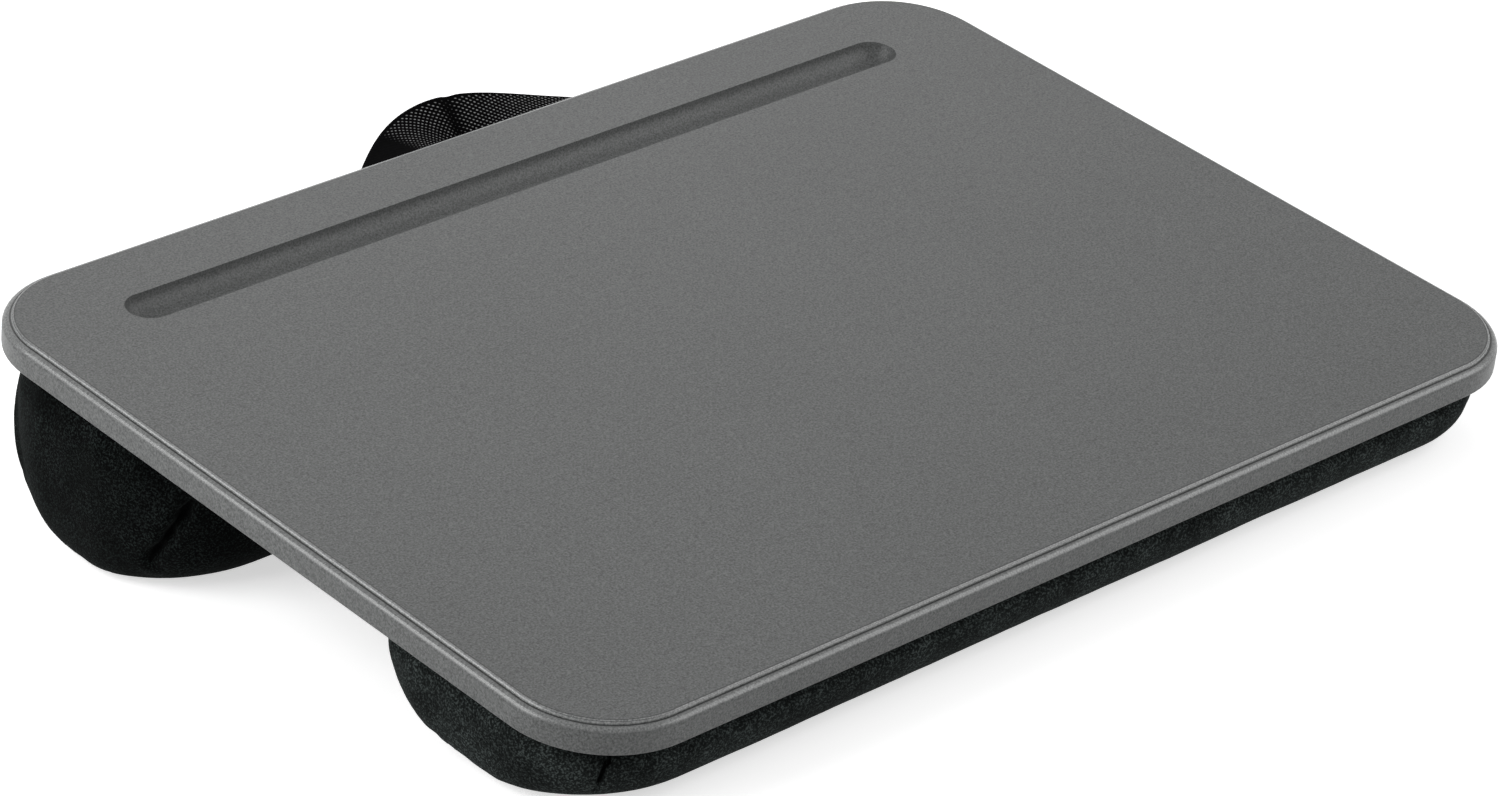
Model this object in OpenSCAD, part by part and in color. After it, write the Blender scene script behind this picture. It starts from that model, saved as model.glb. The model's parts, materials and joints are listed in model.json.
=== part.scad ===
// Lap desk: a flat wrapped board with a pen groove, two bead-filled bolster cushions
// under it and a webbing carry loop at the far edge.
// Millimetres. The desk stands as it does on a table, on its two bolsters:
// +Z is up, -Y is the user's edge, and the origin is the middle of its footprint box.
// The board and all that is fixed to it are drawn flat in "board space" first, where z = 0
// is the board's underside, and on_board() then pitches them to the resting angle.

/* [Board] */
// Width of the board, left to right
board_w = 370; // [300:1:440]
// Depth of the board, user's edge to far edge
board_d = 271.9; // [250:0.1:330]
// Thickness of the finished board
board_t = 9.0; // [8.6:0.1:14]
// Corner radius of the board in plan
corner_r = 31; // [24:0.5:45]
// Radius of the rounding that tops the plain edge
ovolo_r = 2; // [1.2:0.1:3]
// Width of the small flat ledge inside the rounding
ledge_w = 0.5; // [0.3:0.05:1]
// Height of the last small step up to the flat top
step_r = 1.0; // [0.7:0.05:1.4]
// Rounding of the lower edge
arris_r = 0.5; // [0.3:0.05:0.9]
// Thickness of the soft-touch film over the top and the edges
film_t = 0.4; // [0.2:0.05:0.5]
// Thickness of the balancing sheet under the board
backing_t = 0.3; // [0.2:0.05:0.6]

/* [Groove] */
// Length of the groove, end to end
groove_l = 298; // [150:1:298]
// Width of the groove at the top face
groove_w = 14.3; // [10:0.1:18]
// Depth of the groove
groove_depth = 6; // [4.5:0.1:6.2]
// Distance from the far edge to the groove's centre line
groove_edge = 32; // [20:0.5:45]

/* [Base panel] */
// Thickness of the padded cloth panel under the board
panel_t = 2.6; // [2.5:0.1:4]
// Distance from the board's edge to the panel's hem
panel_inset = 6; // [4:0.5:10]

/* [Bolsters] */
// Distance from the board's left and right edges to the bolsters' widest line
bolster_inset = 3.0; // [2.5:0.1:30]
// Width of the far bolster, front to back
rear_w = 93.2; // [70:0.1:110]
// Depth of the far bolster below the board
rear_depth = 52.9; // [35:0.1:70]
// Distance from the board's far edge to the far bolster's widest line
rear_gap = 2.5; // [2:0.1:12]
// Width of the near bolster, front to back
front_w = 103.3; // [70:0.1:115]
// Depth of the near bolster below the board
front_depth = 26.1; // [20:0.1:34]
// Distance from the user's edge to the near bolster's widest line
front_gap = 2.5; // [2:0.1:12]
// Corner radius of the bolsters in plan
bolster_r = 36; // [20:1:42]
// How far the sides draw in at the seam to the base panel
draw_in = 4.5; // [2:0.1:6]
// Thickness of the bolster cloth with its backing
cloth_t = 1.2; // [0.8:0.1:2]
// Wall of the inner bag that holds the beads
bag_t = 0.5; // [0.3:0.1:1]
// Distance from a bolster to the row of staples beside it
staple_room = 5; // [4:0.5:8]

/* [Carry loop] */
// Width of the webbing
webbing_w = 20; // [15:1:22]
// Thickness of the webbing
webbing_t = 1.4; // [1:0.1:1.6]
// Where the middle of the loop lies, right of the board's centre line
loop_x = 12; // [-40:1:40]
// Half the distance between the two webbing ends
loop_half = 69.5; // [55:0.5:85]
// Distance from the far edge in to the middle of each webbing end
end_inset = 33; // [26:0.1:40]
// Angle of the webbing ends to the far edge
end_angle = 56; // [50:1:62]
// How far the middle of the webbing stands out past the far edge
loop_reach = 21.2; // [18:0.1:30]
// How far the middle of the webbing hangs below the board's underside
loop_drop = 3.8; // [1:0.1:8]
// Lean of the webbing in the middle of the loop, away from upright
loop_lean = 55; // [30:1:60]
// How far each end of the webbing runs in past its middle
tab_l = 21; // [19:0.5:30]

/* [Staples] */
// Crown width of a staple
staple_w = 10; // [6:0.5:12]
// Thickness of the staple wire
staple_wire = 0.5; // [0.4:0.05:0.6]
// How deep the staple legs go into the board
staple_leg = 5; // [3:0.5:6]
// Staples along each side of the channel between the bolsters
channel_staples_n = 8; // [4:1:12]
// Distance from the pen groove to the staples on both sides of it
groove_room = 1.5; // [1:0.1:3]

/* [Hidden] */
$fn = 96;

// Clearance between soft pieces that lie against each other
soft_gap = 0.3;
// Clearance round the webbing where it is clamped flat under the board
clamp_gap = 0.1;
// Depth of the flats that the bolsters stand on
flat_cut = 0.5;
// How far a cut runs past the face that it opens
past = 1;
// Larger than the whole desk
far = 1000;

// Height of the upright between the ledge and the rounding of the last step
riser_h = 0.05;
// Height of the plain edge below its rounding, and width of the whole moulding
edge_h = board_t - step_r - riser_h - ovolo_r;
flat_inset = ovolo_r + ledge_w + step_r;
// Straight pieces in each quarter round of the edge section
arc_steps = 8;

// The groove is cut by a round-nosed cutter of this radius
cutter_r = (groove_w * groove_w / 4 + groove_depth * groove_depth) / (2 * groove_depth);
groove_y = board_d / 2 - groove_edge;
groove_axis_z = board_t - groove_depth + cutter_r;

// Bolsters: how square each section is, the length, and the two centre lines
rear_power = 4.2;
front_power = 3.2;
bolster_l = board_w - 2 * bolster_inset;
rear_y = board_d / 2 - rear_gap - rear_w / 2;
front_y = -board_d / 2 + front_gap + front_w / 2;
// Each bolster as its centre line, half width, depth and power
rear = [rear_y, rear_w / 2, rear_depth, rear_power];
front = [front_y, front_w / 2, front_depth, front_power];
// The blunt ends round over in this length, with this power
end_len = 9.3;
end_power = 3.6;
// The draw-in fades out at this share of the depth
draw_share = 0.28;
// The lowest outline lies at this angle round the section, just short of its bottom point
last_angle = 88.5;
seam_z = -panel_t - clamp_gap;

// The pitch of the board follows from the two bolsters' depths and places: both must
// reach the same floor. A rounded section reaches this far along a direction that leans
// by t from straight down
function reach(t, half, depth, power) =
    let (q = power / (power - 1))
    pow(pow(half * sin(t), q) + pow(depth * cos(t), q), 1 / q);
function bolster_reach(t, b) = reach(t, b[1], b[2], b[3]);
function level(t, turns) =
    turns == 0 ? t
        : level(asin((bolster_reach(t, rear) - bolster_reach(t, front)) / (rear_y - front_y)), turns - 1);
level_turns = 24;
pitch = level(0, level_turns);
lift = bolster_reach(pitch, rear) - rear_y * sin(pitch) - flat_cut;

// Webbing: a flat end under the board, then one curve out to the middle of the loop,
// where the webbing leans outwards. t runs from 0 at the end's middle to 1 at mid loop
web_z = -clamp_gap - webbing_t / 2;
end_y = board_d / 2 - end_inset;
mid_y = board_d / 2 + loop_reach;
// How strongly the curve holds its line at the ends and in the middle
end_hold = 2.9;
mid_hold = 26;
// The webbing starts to turn on edge at this share of each half
twist_start = 0.64;
loop_steps = 30;
slope_step = 0.001;
// The loop flexes on a line just past the board's far edge, with a gap on both sides
flex_out = 1.9;
flex_y = board_d / 2 + flex_out;
flex_gap = 0.48;
// The pocket in the base panel follows this share of each half of the webbing
pocket_share = 0.7;

function bezier(t, a, b, c, d) =
    pow(1 - t, 3) * a + 3 * t * pow(1 - t, 2) * b + 3 * t * t * (1 - t) * c + pow(t, 3) * d;
function smooth(x) = let (u = max(0, min(1, x))) u * u * (3 - 2 * u);
function twist(t) = smooth((t - twist_start) / (1 - twist_start));
function unit(v) = v / norm(v);
function web_centre(t) =
    let (
        a = [-loop_half, end_y],
        b = a + end_hold * [cos(end_angle), sin(end_angle)],
        d = [0, mid_y],
        c = d - [mid_hold, 0],
        p = bezier(t, a, b, c, d)
    )
    [p[0], p[1], web_z - (loop_drop + web_z) * twist(t)];
function web_along(t) =
    let (a = web_centre(max(0, t - slope_step)), b = web_centre(min(1, t + slope_step))) unit(b - a);
function web_across(t) =
    let (d = web_along(t), out = unit([-d[1], d[0], 0]), up = twist(t) * (90 - loop_lean))
    cos(up) * out + [0, 0, sin(up)];
function turned(v, side) = [side * v[0] + loop_x, v[1], v[2]];
// One cross-section of the webbing: outer edge first, upper face first
function web_ring(centre, along, across, half_w, half_t) =
    let (face = unit(cross(along, across)))
    [
        centre + half_w * across + half_t * face,
        centre - half_w * across + half_t * face,
        centre - half_w * across - half_t * face,
        centre + half_w * across - half_t * face
    ];
// Cross-sections of half the loop, from the clamped end to the middle
function half_loop(half_w, half_t) =
    let (first = web_along(0), flat = web_across(0))
    concat(
        [web_ring(web_centre(0) - tab_l * [first[0], first[1], 0], first, flat, half_w, half_t)],
        [for (i = [0:loop_steps]) let (t = i / loop_steps)
            web_ring(web_centre(t), web_along(t), web_across(t), half_w, half_t)]
    );
function loop_rings(half_w, half_t) =
    let (left = half_loop(half_w, half_t), n = len(left))
    concat(
        [for (r = left) [for (p = r) turned(p, 1)]],
        [for (i = [n - 2:-1:0]) [for (p = left[i]) turned(p, -1)]]
    );

// Footprint box of the desk along Y, for the origin
loop_rear = max([for (r = half_loop(webbing_w / 2, webbing_t / 2), p = r)
    p[1] * cos(pitch) - p[2] * sin(pitch)]);
board_front = -(board_d / 2 - ovolo_r) * cos(pitch) - edge_h * sin(pitch) - ovolo_r;
origin_y = (loop_rear + board_front) / 2;

// Places something drawn in board space on the pitched board
module on_board() {
    translate([0, -origin_y, lift])
        rotate([pitch, 0, 0])
            children();
}

function arc(centre, r, from, to) =
    [for (i = [0:arc_steps]) let (a = from + (to - from) * i / arc_steps) centre + r * [cos(a), sin(a)]];

// Edge section of the board, set in by inset, measured out from a corner's centre
function edge_section(inset, bottom, lower_r) =
    concat(
        [[0, bottom]],
        lower_r > 0 ? arc([corner_r - inset - lower_r, bottom + lower_r], lower_r, -90, 0)
            : [[corner_r - inset, bottom]],
        arc([corner_r - ovolo_r, edge_h], ovolo_r - inset, 0, 90),
        [[corner_r - ovolo_r - ledge_w - inset, edge_h + ovolo_r - inset]],
        arc([corner_r - flat_inset, board_t - step_r], step_r - inset, 0, 90),
        [[0, board_t - inset]]
    );

// A plate with rounded corners whose edge has the given section
module plate(section) {
    x = board_w / 2 - corner_r;
    y = board_d / 2 - corner_r;
    top = max([for (p = section) p[1]]);
    bottom = min([for (p = section) p[1]]);
    for (sx = [-1, 1], sy = [-1, 1])
        translate([sx * x, sy * y, 0])
            rotate_extrude()
                polygon(section);
    for (s = [-1, 1]) {
        translate([0, s * y, 0])
            rotate([90, 0, s * 90])
                translate([0, 0, -x])
                    linear_extrude(2 * x)
                        polygon(section);
        translate([s * x, 0, 0])
            rotate([90, 0, s * 90 - 90])
                translate([0, 0, -y])
                    linear_extrude(2 * y)
                        polygon(section);
    }
    translate([-x, -y, bottom])
        cube([2 * x, 2 * y, top - bottom]);
}

// The groove's cutter, swept along its length
module groove_cut(r) {
    run = groove_l / 2 - groove_w / 2;
    translate([0, groove_y, groove_axis_z]) {
        rotate([0, 90, 0])
            cylinder(r = r, h = 2 * run, center = true);
        for (s = [-1, 1])
            translate([s * run, 0, 0])
                sphere(r = r);
    }
}

// A flat sheet with rounded corners
module sheet(inset, thickness) {
    r = corner_r - inset;
    linear_extrude(thickness)
        union() {
            square([board_w - 2 * corner_r, board_d - 2 * inset], center = true);
            square([board_w - 2 * inset, board_d - 2 * corner_r], center = true);
            for (sx = [-1, 1], sy = [-1, 1])
                translate([sx * (board_w / 2 - corner_r), sy * (board_d / 2 - corner_r)])
                    circle(r = r);
        }
}

module core_shape(bottom) {
    difference() {
        plate(edge_section(film_t, bottom, 0));
        groove_cut(cutter_r + film_t);
    }
}

module board_core() {
    color("burlywood")
        on_board()
            core_shape(backing_t);
}

module board_laminate() {
    color("dimgray")
        on_board()
            difference() {
                plate(edge_section(0, 0, arris_r));
                groove_cut(cutter_r);
                core_shape(-past);
            }
}

module board_backing() {
    color("black")
        on_board()
            sheet(film_t, backing_t);
}

// Plan outline of the clamped webbing, widened by grow, for the pocket over each end
function pocket_outline(grow) =
    let (rings = half_loop(webbing_w / 2 + grow, webbing_t / 2), last = floor(loop_steps * pocket_share))
    concat(
        [let (d = web_along(0)) [rings[0][0][0] - grow * d[0], rings[0][0][1] - grow * d[1]]],
        [for (i = [1:last]) [rings[i][0][0], rings[i][0][1]]],
        [for (i = [last:-1:1]) [rings[i][1][0], rings[i][1][1]]],
        [let (d = web_along(0)) [rings[0][1][0] - grow * d[0], rings[0][1][1] - grow * d[1]]]
    );

module base_panel() {
    pocket_depth = webbing_t + staple_wire + 2 * clamp_gap;
    color([0.10, 0.10, 0.10])
        on_board()
            difference() {
                translate([0, 0, -panel_t])
                    sheet(panel_inset, panel_t);
                for (side = [-1, 1])
                    translate([loop_x, 0, -pocket_depth])
                        scale([side, 1, 1])
                            linear_extrude(pocket_depth + past)
                                polygon(pocket_outline(soft_gap));
            }
}

// One staple, crown down, legs up into the board
module staple(crown_z) {
    leg = staple_leg - crown_z + staple_wire;
    translate([0, -staple_wire / 2, crown_z - staple_wire]) {
        translate([-staple_w / 2, 0, 0])
            cube([staple_w, staple_wire, staple_wire]);
        for (x = [-staple_w / 2, staple_w / 2 - staple_wire])
            translate([x, 0, 0])
                cube([staple_wire, staple_wire, leg]);
    }
}

// Staples that hold the base panel to the board on both sides of the open channel
module channel_staples() {
    rows = [rear_y - rear_w / 2 - staple_room, front_y + front_w / 2 + staple_room];
    span = bolster_l - 2 * bolster_r;
    color("silver")
        on_board()
            for (y = rows, i = [0:channel_staples_n - 1])
                translate([-span / 2 + span * i / (channel_staples_n - 1), y, 0])
                    staple(-panel_t);
}

// Staples through the two webbing ends, on both sides of the pen groove
module handle_staples() {
    row_off = groove_w / 2 + film_t + groove_room + staple_w / 2 * cos(end_angle);
    color("silver")
        on_board()
            for (side = [-1, 1], k = [-1, 1])
                translate([loop_x, 0, 0])
                    mirror([side < 0 ? 1 : 0, 0, 0])
                        translate([-loop_half, end_y, 0])
                            rotate(end_angle)
                                translate([(groove_y - end_y + k * row_off) / sin(end_angle), 0, 0])
                                    rotate(90)
                                        staple(-webbing_t - clamp_gap);
}

// The whole webbing as one swept strip
module webbing() {
    rings = loop_rings(webbing_w / 2, webbing_t / 2);
    n = len(rings);
    points = [for (r = rings) each r];
    sides = [for (i = [0:n - 2], k = [0:3])
        let (a = 4 * i + k, b = 4 * i + (k + 1) % 4, c = b + 4, d = a + 4)
        each [[a, b, c], [a, c, d]]];
    ends = [[3, 2, 1], [3, 1, 0], [4 * n - 4, 4 * n - 3, 4 * n - 2], [4 * n - 4, 4 * n - 2, 4 * n - 1]];
    polyhedron(points, concat(sides, ends));
}

// The part of the webbing on one side of the flex line: 1 is past it, -1 is under the board
module webbing_part(beyond) {
    intersection() {
        webbing();
        if (beyond)
            translate([-far / 2, flex_y + flex_gap, -far / 2])
                cube(far);
        else
            translate([-far / 2, flex_y - flex_gap - far, -far / 2])
                cube(far);
    }
}

module clamped_end(side) {
    intersection() {
        webbing_part(false);
        translate([side < 0 ? loop_x - far : loop_x, -far / 2, -far / 2])
            cube(far);
    }
}

module handle_left_end() {
    color([0.07, 0.07, 0.07])
        on_board()
            clamped_end(-1);
}

module handle_right_end() {
    color([0.07, 0.07, 0.07])
        on_board()
            clamped_end(1);
}

module carry_loop() {
    color([0.09, 0.09, 0.09])
        on_board()
            webbing_part(true);
}

// One outline of a bolster at a given depth, with half length, half width and
// corner radii. Each corner is a quarter of an ellipse
function outline(half_l, half_w, rx, ry, z, y, n) =
    [for (c = [0:3], i = [0:n])
        let (
            a = 90 * c + 90 * i / n,
            sx = (c == 0 || c == 3) ? 1 : -1,
            sy = c < 2 ? 1 : -1
        )
        [sx * (half_l - rx) + rx * cos(a), y + sy * (half_w - ry) + ry * sin(a), z]];

// The outlines of bolster b, set in by inset all round, from the seam to the bottom
function bolster_rings(b, inset, seam, rings, n) =
    let (
        y = b[0],
        hw = b[1] - inset,
        dp = b[2] - inset,
        power = b[3],
        hl = bolster_l / 2 - inset,
        start = asin(pow(-seam / dp, power / 2))
    )
    [for (k = [0:rings])
        let (
            a = start + (last_angle - start) * k / rings,
            down = pow(sin(a), 2 / power),
            narrow = pow(cos(a), 2 / power),
            end_round = pow(max(0, 1 - pow(down, end_power)), 1 / end_power),
            drawn = draw_in * pow(max(0, 1 - down / draw_share), 2)
        )
        outline(hl - end_len * (1 - end_round) - drawn, hw * narrow - drawn,
            bolster_r, bolster_r * narrow * (1 - drawn / hw), -dp * down, y, n)];

// A closed solid through outlines that all have as many points
module loft(rings) {
    m = len(rings[0]);
    n = len(rings);
    points = [for (r = rings) each r];
    sides = [for (i = [0:n - 2], k = [0:m - 1])
        let (a = m * i + k, b = m * i + (k + 1) % m, c = b + m, d = a + m)
        each [[a, b, c], [a, c, d]]];
    top = [for (k = [m - 1:-1:0]) k];
    bottom = [for (k = [0:m - 1]) m * (n - 1) + k];
    polyhedron(points, concat([top], sides, [bottom]));
}

// Fine steps for the outside of a cover, coarse ones for what lies inside
fine_rings = 14;
fine_n = 9;
coarse_rings = 6;
coarse_n = 4;
// Slack of a bag inside its cover, with the room that its coarse steps need
step_room = 2.2;
bag_seam = seam_z - soft_gap;
bag_inset = cloth_t + soft_gap + step_room;
fill_seam = bag_seam - bag_t - soft_gap;
fill_inset = bag_inset + bag_t + soft_gap;

module inner_form(b, inset, seam) {
    loft(bolster_rings(b, inset, seam, coarse_rings, coarse_n));
}

// The sewn cloth round bolster b, with a flat where it stands on the floor
module bolster_cover(b) {
    color([0.12, 0.13, 0.13])
        difference() {
            on_board()
                difference() {
                    loft(bolster_rings(b, 0, seam_z, fine_rings, fine_n));
                    translate([0, 0, soft_gap])
                        inner_form(b, cloth_t + soft_gap, seam_z);
                }
            translate([-far / 2, -far / 2, -far])
                cube(far);
        }
}

module bead_bag(b) {
    color("whitesmoke")
        on_board()
            difference() {
                inner_form(b, bag_inset, bag_seam);
                inner_form(b, bag_inset + bag_t, bag_seam - bag_t);
            }
}

module bead_fill(b) {
    color("white")
        on_board()
            inner_form(b, fill_inset, fill_seam);
}

module rear_bolster_cover() {
    bolster_cover(rear);
}

module rear_bead_bag() {
    bead_bag(rear);
}

module rear_bead_fill() {
    bead_fill(rear);
}

module front_bolster_cover() {
    bolster_cover(front);
}

module front_bead_bag() {
    bead_bag(front);
}

module front_bead_fill() {
    bead_fill(front);
}

board_core();
board_laminate();
board_backing();
base_panel();
channel_staples();
handle_staples();
handle_left_end();
handle_right_end();
carry_loop();
rear_bolster_cover();
rear_bead_bag();
rear_bead_fill();
front_bolster_cover();
front_bead_bag();
front_bead_fill();
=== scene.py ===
"""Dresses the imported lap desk: film on the board, two stuffed bolsters, the padded
panel under the board, the webbing loop and a plain studio stage. Metres, in the
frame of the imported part."""

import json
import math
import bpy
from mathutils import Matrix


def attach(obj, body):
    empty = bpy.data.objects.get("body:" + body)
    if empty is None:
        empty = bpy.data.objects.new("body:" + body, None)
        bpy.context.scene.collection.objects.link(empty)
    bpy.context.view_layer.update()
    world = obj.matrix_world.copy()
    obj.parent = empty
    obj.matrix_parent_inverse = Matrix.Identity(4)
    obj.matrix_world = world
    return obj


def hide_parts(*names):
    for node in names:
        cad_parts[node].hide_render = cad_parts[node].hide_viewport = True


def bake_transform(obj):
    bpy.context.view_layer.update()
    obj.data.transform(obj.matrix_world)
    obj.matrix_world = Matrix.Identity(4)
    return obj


bl_info = {
    "name": "Lap desk",
    "version": (1, 0, 0),
    "blender": (4, 5, 0),
    "location": "3D View > Sidebar > Lap desk",
    "description": "Film, bolsters, base panel, webbing loop and stage for the lap desk",
    "category": "Object",
}

import bmesh
import bpy
from mathutils import Matrix, Vector, bvhtree, noise

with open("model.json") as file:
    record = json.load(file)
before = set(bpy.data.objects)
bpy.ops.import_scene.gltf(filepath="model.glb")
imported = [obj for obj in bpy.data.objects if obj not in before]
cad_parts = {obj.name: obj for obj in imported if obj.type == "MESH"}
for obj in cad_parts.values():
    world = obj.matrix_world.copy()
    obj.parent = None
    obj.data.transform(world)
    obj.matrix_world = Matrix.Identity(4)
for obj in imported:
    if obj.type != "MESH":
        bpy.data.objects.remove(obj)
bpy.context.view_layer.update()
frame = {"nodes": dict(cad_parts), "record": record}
MM = 0.001

# The board's top face, as the record gives it, fixes the slope of everything on it.
# Board space is flat: millimetres, z = 0 on the board's underside.
BOARD_T = 9.0
TOP = next(m for m in frame["record"]["mounts"] if m["name"] == "board_top")
TILT = math.atan2(-TOP["axis"][1], TOP["axis"][2])
BOARD = Matrix.Translation(
    Vector(TOP["pos_m"]) - BOARD_T * MM * Vector(TOP["axis"])
) @ Matrix.Rotation(TILT, 4, "X")
INTO_BOARD = BOARD.inverted()
CORNER_R = 31.0


class DeskSizes(bpy.types.PropertyGroup):
    """Sizes of the soft pieces."""

    board_width: bpy.props.FloatProperty(
        name="Board width", description="Left to right", default=0.370, unit="LENGTH"
    )
    board_depth: bpy.props.FloatProperty(
        name="Board depth", description="User's edge to far edge", default=0.2719,
        unit="LENGTH",
    )
    cloth_grid: bpy.props.FloatProperty(
        name="Cloth grid", description="Grid of the cloth that is inflated",
        default=0.005, unit="LENGTH",
    )
    swell: bpy.props.FloatProperty(
        name="Swell", description="Most that the filling may push the cloth out",
        default=0.0016, unit="LENGTH",
    )
    webbing_width: bpy.props.FloatProperty(
        name="Webbing width", description="Across the webbing", default=0.020,
        unit="LENGTH",
    )
    webbing_thickness: bpy.props.FloatProperty(
        name="Webbing thickness", description="Through the webbing", default=0.0013,
        unit="LENGTH",
    )


class DeskColours(bpy.types.PropertyGroup):
    """Colours of the finishes."""

    film: bpy.props.FloatVectorProperty(
        name="Film", description="Soft-touch film on the board", subtype="COLOR",
        size=3, default=(0.088, 0.091, 0.090),
    )
    # The bolsters are one cloth: the far bolster's colour is darkened to about a sixth of the
    # near one's as painted shade, for the board's shadow over it.
    far_cloth_painted_shade: bpy.props.FloatVectorProperty(
        name="Far bolster", description="Brushed cloth of the far bolster",
        subtype="COLOR", size=3, default=(0.0017, 0.0022, 0.0021),
    )
    near_cloth: bpy.props.FloatVectorProperty(
        name="Near bolster", description="Brushed cloth of the near bolster",
        subtype="COLOR", size=3, default=(0.0102, 0.0122, 0.0118),
    )
    panel: bpy.props.FloatVectorProperty(
        name="Base panel", description="Woven cloth under the board",
        subtype="COLOR", size=3, default=(0.010, 0.010, 0.0105),
    )
    webbing: bpy.props.FloatVectorProperty(
        name="Webbing", description="Yarn of the webbing", subtype="COLOR",
        size=3, default=(0.0015, 0.0015, 0.0017),
    )
    # The tops of the webbing's crossings are painted light: a painted highlight where their domes
    # catch light.
    painted_knot_highlight: bpy.props.FloatVectorProperty(
        name="Webbing knots", description="Worn tops of the webbing's crossings",
        subtype="COLOR", size=3, default=(0.42, 0.425, 0.425),
    )


def flat(points):
    """Board-space millimetres to the part's frame in metres."""
    return [BOARD @ (Vector(p) * MM) for p in points]


def deselect():
    bpy.ops.object.select_all(action="DESELECT")


def alone(obj):
    """Selects one object and nothing else."""
    deselect()
    obj.select_set(True)
    bpy.context.view_layer.objects.active = obj


def mesh_object(name, points, faces):
    """A new mesh object whose faces point outwards."""
    mesh = bpy.data.meshes.new(name)
    mesh.from_pydata(points, [], faces)
    mesh.update()
    bm = bmesh.new()
    bm.from_mesh(mesh)
    bmesh.ops.recalc_face_normals(bm, faces=bm.faces)
    bm.to_mesh(mesh)
    bm.free()
    obj = bpy.data.objects.new(name, mesh)
    bpy.context.scene.collection.objects.link(obj)
    alone(obj)
    return obj


def tube_faces(rings, ring_size):
    """Quads between rings of points, and a face over each end."""
    faces = []
    for i in range(rings - 1):
        for k in range(ring_size):
            a = ring_size * i + k
            b = ring_size * i + (k + 1) % ring_size
            faces.append([a, b, b + ring_size, a + ring_size])
    last = ring_size * (rings - 1)
    faces.append([ring_size - 1 - k for k in range(ring_size)])
    faces.append([last + k for k in range(ring_size)])
    return faces


def apply_modifier(obj, kind, **settings):
    alone(obj)
    modifier = obj.modifiers.new(kind.title(), kind)
    for key, value in settings.items():
        setattr(modifier, key, value)
    bpy.ops.object.modifier_apply(modifier=modifier.name)


def finish_slots(obj, mat):
    if not obj.data.materials:
        obj.data.materials.append(mat)
    for slot in obj.material_slots:
        slot.material = mat


def finish_cloth(obj, mat):
    """Smooth shading and one finish for a soft piece."""
    alone(obj)
    bpy.ops.object.shade_smooth()
    finish_slots(obj, mat)


def smooth(x):
    """0 below 0, 1 above 1, and an even S between them."""
    x = max(0.0, min(1.0, x))
    return x * x * (3 - 2 * x)


def bell(x, width):
    """1 at x = 0, falling smoothly to nothing over about twice the width."""
    return math.exp(-((x / width) ** 2))


def new_material(name):
    mat = bpy.data.materials.new(name)
    mat.use_nodes = True
    return mat, mat.node_tree.nodes, mat.node_tree.links, mat.node_tree.nodes["Principled BSDF"]


def set_inputs(shader, **inputs):
    """Sets inputs by name, with _ for a space; a single colour needs no alpha."""
    for key, value in inputs.items():
        if isinstance(value, tuple):
            value = (*value, 1.0)
        shader.inputs[key.replace("_", " ")].default_value = value


def math_node(nodes, links, operation, first, second=None):
    """A Math node; each input is a socket or a number."""
    n = nodes.new("ShaderNodeMath")
    n.operation = operation
    for socket, value in zip(n.inputs, (first, second)):
        if isinstance(value, (int, float)):
            socket.default_value = value
        elif value is not None:
            links.new(value, socket)
    return n.outputs[0]


def texture(nodes, links, kind, **inputs):
    """A texture on Object coordinates, so that it stays on the piece."""
    n = nodes.new(kind)
    set_inputs(n, **inputs)
    place = nodes.new("ShaderNodeTexCoord")
    links.new(place.outputs["Object"], n.inputs["Vector"])
    return n


def noise_texture(nodes, links, scale, detail, roughness):
    n = texture(
        nodes, links, "ShaderNodeTexNoise", Scale=scale, Detail=detail, Roughness=roughness
    )
    return n.outputs["Fac"]


def attribute(nodes, name):
    """The value that a mesh keeps at its points under this name."""
    n = nodes.new("ShaderNodeAttribute")
    n.attribute_name = name
    return n.outputs["Fac"]


def ramp(nodes, links, factor, stops):
    """The colour of a factor on a ramp, whose stops are places with tones or colours."""
    n = nodes.new("ShaderNodeValToRGB")
    while len(n.color_ramp.elements) < len(stops):
        n.color_ramp.elements.new(0.5)
    for element, (place, colour) in zip(n.color_ramp.elements, stops):
        element.position = place
        if isinstance(colour, (int, float)):
            colour = (colour, colour, colour)
        element.color = (*colour, 1.0)
    links.new(factor, n.inputs["Fac"])
    return n.outputs["Color"]


def multiply(nodes, links, first, second):
    n = nodes.new("ShaderNodeMix")
    n.data_type = "RGBA"
    n.blend_type = "MULTIPLY"
    n.inputs[0].default_value = 1.0
    links.new(first, n.inputs[6])
    links.new(second, n.inputs[7])
    return n.outputs[2]


def raise_surface(nodes, links, bsdf, height, strength, distance):
    """Bump from a height; distance is in metres."""
    n = nodes.new("ShaderNodeBump")
    set_inputs(n, Strength=strength, Distance=distance)
    links.new(height, n.inputs["Height"])
    links.new(n.outputs["Normal"], bsdf.inputs["Normal"])


def scaled(colour, factor):
    return tuple(c * factor for c in colour)


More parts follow.
